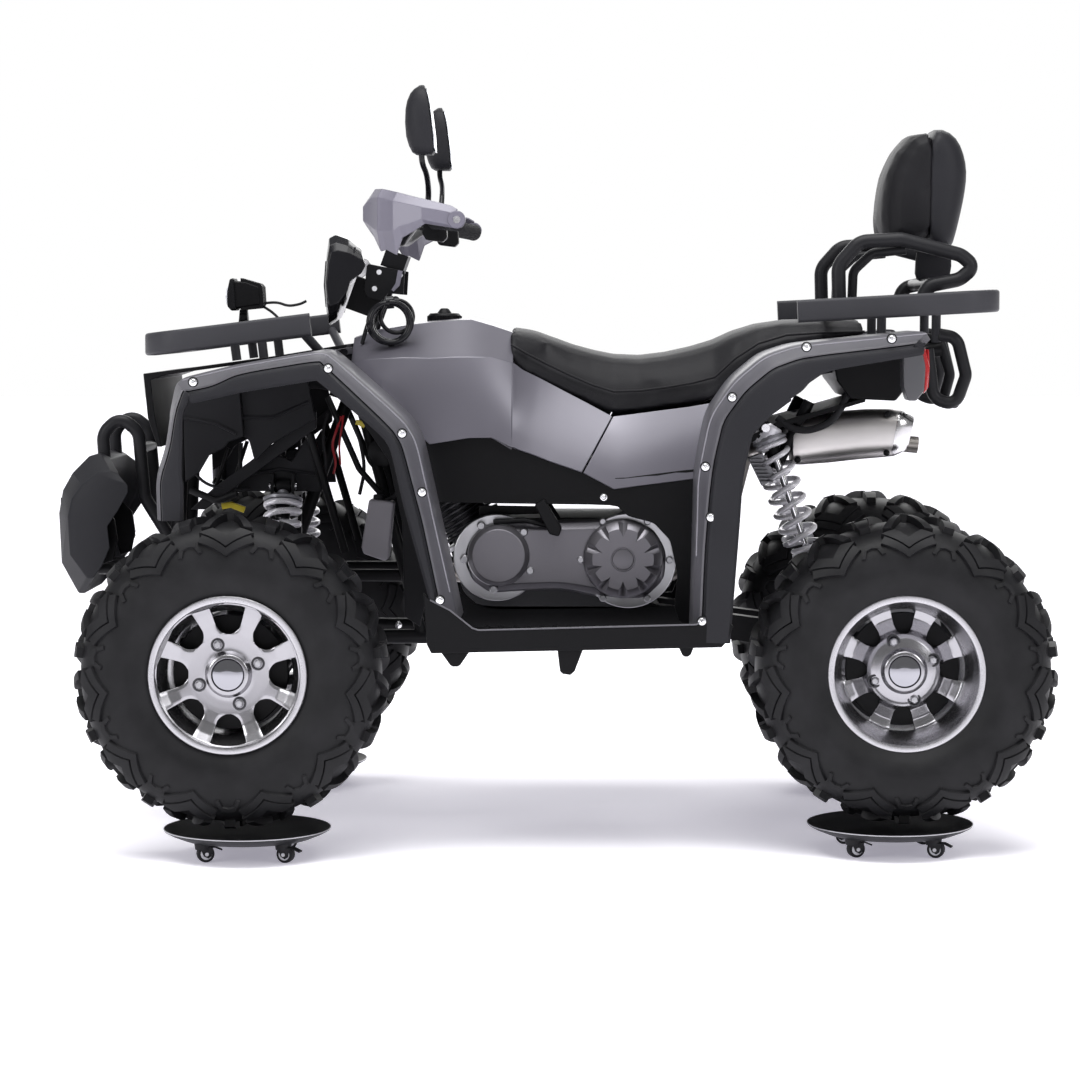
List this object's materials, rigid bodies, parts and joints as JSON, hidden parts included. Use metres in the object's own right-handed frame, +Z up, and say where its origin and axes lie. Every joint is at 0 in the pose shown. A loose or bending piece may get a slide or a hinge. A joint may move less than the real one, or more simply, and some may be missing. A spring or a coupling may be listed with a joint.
{
  "type": "quad bike",
  "caption": "Utility quad bike with racks, saddle, passenger backrest, turning handlebar and front wheels, and rolling wheels parked on round wheel dollies.",
  "frame": {"origin": "on the floor under the middle of the machine, midway between the ends of its outline", "axes": "+Z up, -X towards the front of the machine, -Y towards its left side"},
  "size_m": [1.8989, 1.212, 1.416],
  "materials": {
    "tyre": "satin black rubber",
    "rim": "machined and polished",
    "steel_black": "satin black powder coat",
    "paint_grey": "satin metallic grey paint on moulded panels",
    "plastic_black": "grained moulded plastic",
    "plastic_gloss": "gloss black",
    "seat_cover": "black grained vinyl",
    "engine_metal": "grey painted and cast aluminium",
    "spring": "silver painted spring steel",
    "steel": "bare steel",
    "silencer": "brushed satin",
    "tail_lens": "red lens",
    "rubber": "ribbed rubber"
  },
  "bodies": {
    "chassis": {"backrest_pad": "seat_cover", "backrest_shell": "plastic_black", "bumper_guard": "plastic_black", "bumper_hoop": "steel_black", "cable_coil": "rubber", "coolant_bottle": "plastic_black", "engine": "engine_metal", "exhaust": "silencer", "final_drive": "engine_metal", "footwells": "plastic_black", "frame": "steel_black", "front_arms": "steel_black", "front_fenders": "plastic_black", "front_rack": "plastic_black", "front_shocks": "spring", "fuel_cap": "plastic_black", "grab_bars": "steel_black", "lower_panels": "plastic_black", "nose_cowl": "plastic_black", "rear_bumper": "steel_black", "rear_fenders": "plastic_black", "rear_fork": "steel_black", "rear_rack": "plastic_black", "rear_shocks": "spring", "seat": "seat_cover", "side_panels": "paint_grey", "spot_lamp": "plastic_black", "tail_lamps": "tail_lens", "tank_cover": "paint_grey", "wheel_dollies": "steel_black"},
    "front_wheel_left": {"front_tyre_left": "tyre", "front_rim_left": "rim"},
    "front_wheel_right": {"front_tyre_right": "tyre", "front_rim_right": "rim"},
    "rear_wheels": {"rear_axle": "steel", "rear_tyre_left": "tyre", "rear_tyre_right": "tyre", "rear_rim_left": "rim", "rear_rim_right": "rim"},
    "knuckle_left": {"knuckle_left": "steel_black"},
    "knuckle_right": {"knuckle_right": "steel_black"},
    "steering": {"steering_column": "steel_black", "handlebar": "steel_black", "grips": "rubber", "hand_guards": "paint_grey", "headlamp": "plastic_gloss", "mirrors": "plastic_black"},
    "tie_rod_left": {"tie_rod_left": "steel"},
    "tie_rod_right": {"tie_rod_right": "steel"}
  },
  "joints": [
    {"name": "steering", "type": "hinge", "parent": "chassis", "child": "steering", "pos_m": [-0.5515, 0, 0.398], "axis": [0.342, 0, 0.9397], "range_deg": [-36, 36]},
    {"name": "steer_left", "type": "hinge", "parent": "chassis", "child": "knuckle_left", "pos_m": [-0.5715, -0.4, 0.345], "axis": [0, 0, 1], "range_deg": [-30, 30]},
    {"name": "steer_right", "type": "hinge", "parent": "chassis", "child": "knuckle_right", "pos_m": [-0.5715, 0.4, 0.345], "axis": [0, 0, 1], "range_deg": [-30, 30]},
    {"name": "tie_left", "type": "hinge", "parent": "steering", "child": "tie_rod_left", "pos_m": [-0.6301, -0.028, 0.41596], "axis": [0.342, 0, 0.9397], "range_deg": [-40, 40]},
    {"name": "tie_right", "type": "hinge", "parent": "steering", "child": "tie_rod_right", "pos_m": [-0.6301, 0.028, 0.41596], "axis": [0.342, 0, 0.9397], "range_deg": [-40, 40]},
    {"name": "front_left_spin", "type": "hinge", "parent": "knuckle_left", "child": "front_wheel_left", "pos_m": [-0.5715, -0.47, 0.345], "axis": [0, 1, 0], "continuous": true},
    {"name": "front_right_spin", "type": "hinge", "parent": "knuckle_right", "child": "front_wheel_right", "pos_m": [-0.5715, 0.47, 0.345], "axis": [0, 1, 0], "continuous": true},
    {"name": "rear_spin", "type": "hinge", "parent": "chassis", "child": "rear_wheels", "pos_m": [0.6625, 0, 0.342], "axis": [0, 1, 0], "continuous": true}
  ],
  "couplings": [
    {"joint": "steer_left", "follows": "steering", "ratio": 0.8333},
    {"joint": "steer_right", "follows": "steering", "ratio": 0.8333},
    {"joint": "tie_left", "follows": "steering", "ratio": -1.1046},
    {"joint": "tie_right", "follows": "steering", "ratio": -1.1046}
  ]
}
